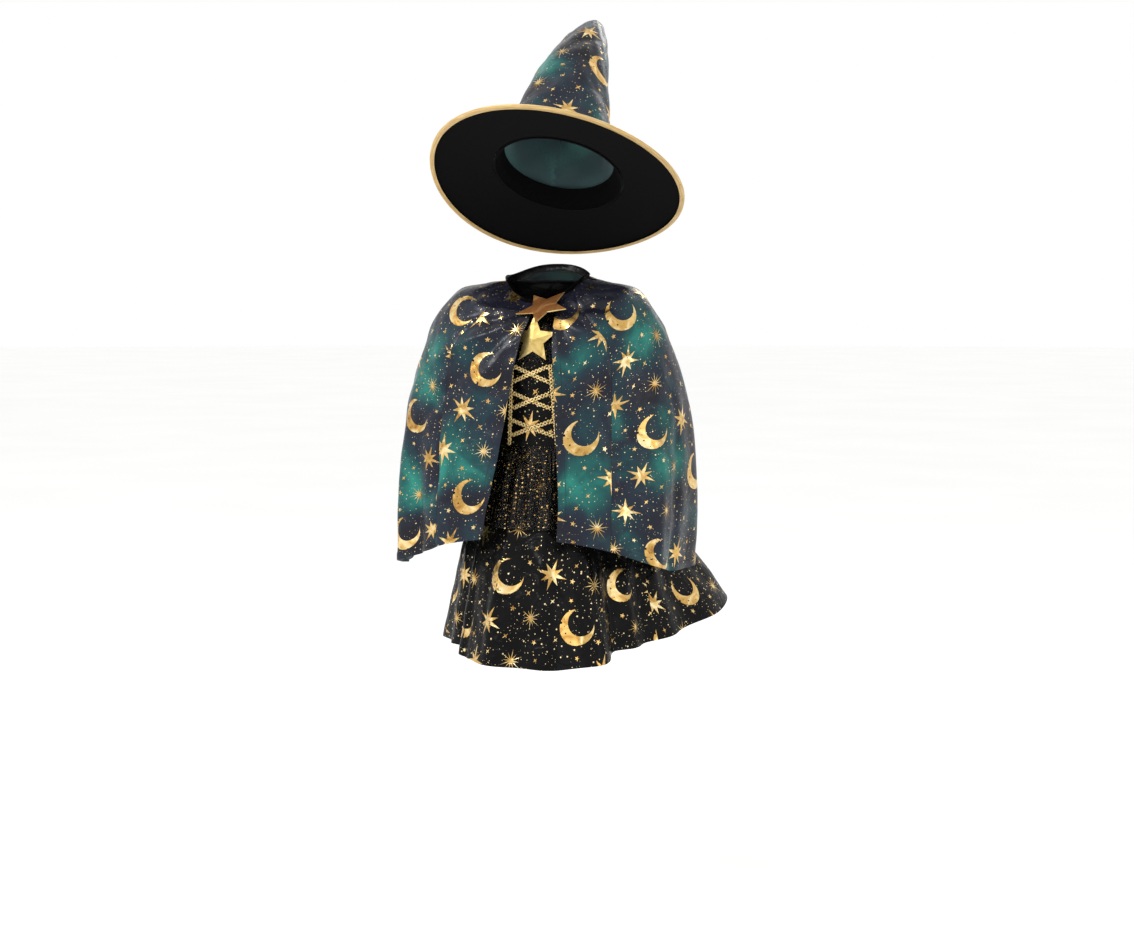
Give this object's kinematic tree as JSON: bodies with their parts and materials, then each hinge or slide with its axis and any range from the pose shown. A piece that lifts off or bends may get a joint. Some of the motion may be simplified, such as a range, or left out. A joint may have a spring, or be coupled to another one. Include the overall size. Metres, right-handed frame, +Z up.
{
  "type": "wizard costume",
  "caption": "Child's wizard costume as worn, hollow: pointed hat with a bound brim, short open cape with a star clasp, and a laced dress with a flared skirt.",
  "frame": {"origin": "middle of the neck's base, where the wearer's shoulders carry the cape and dress", "axes": "+Z up, -Y towards the front of the costume, +X to the wearer's left"},
  "size_m": [0.4452, 0.398, 0.9015],
  "materials": {
    "galaxy_satin": "printed polyester satin, dark blue and teal with gold foil",
    "black_satin": "black polyester satin with gold foil",
    "black_felt": "matte black knit on foam",
    "black_tulle": "black net with gold glitter",
    "gold_binding": "gold satin binding and metallic braid",
    "gold_foil": "gold foil leathercloth"
  },
  "bodies": {
    "root": {"hat_crown": "galaxy_satin", "hat_brim_top": "galaxy_satin", "hat_brim_under": "black_felt", "hat_binding": "gold_binding", "hat_headband": "black_felt", "cape_front_right": "galaxy_satin", "cape_front_left": "galaxy_satin", "cape_side_right": "galaxy_satin", "cape_side_left": "galaxy_satin", "cape_back": "galaxy_satin", "cape_neckband": "black_satin", "cape_clasp_star": "gold_foil", "yoke_front": "black_tulle", "bodice_front": "black_satin", "bodice_back_right": "black_satin", "bodice_back_left": "black_satin", "neck_binding_front": "black_satin", "neck_binding_back": "black_satin", "braid_right": "gold_binding", "braid_left": "gold_binding", "lace_1_rising": "gold_binding", "lace_1_falling": "gold_binding", "lace_2_rising": "gold_binding", "lace_2_falling": "gold_binding", "lace_3_rising": "gold_binding", "lace_3_falling": "gold_binding", "bodice_star": "gold_foil", "overlay_front": "black_tulle", "overlay_back": "black_tulle", "skirt_front": "black_satin", "skirt_back": "black_satin"}
  },
  "joints": []
}
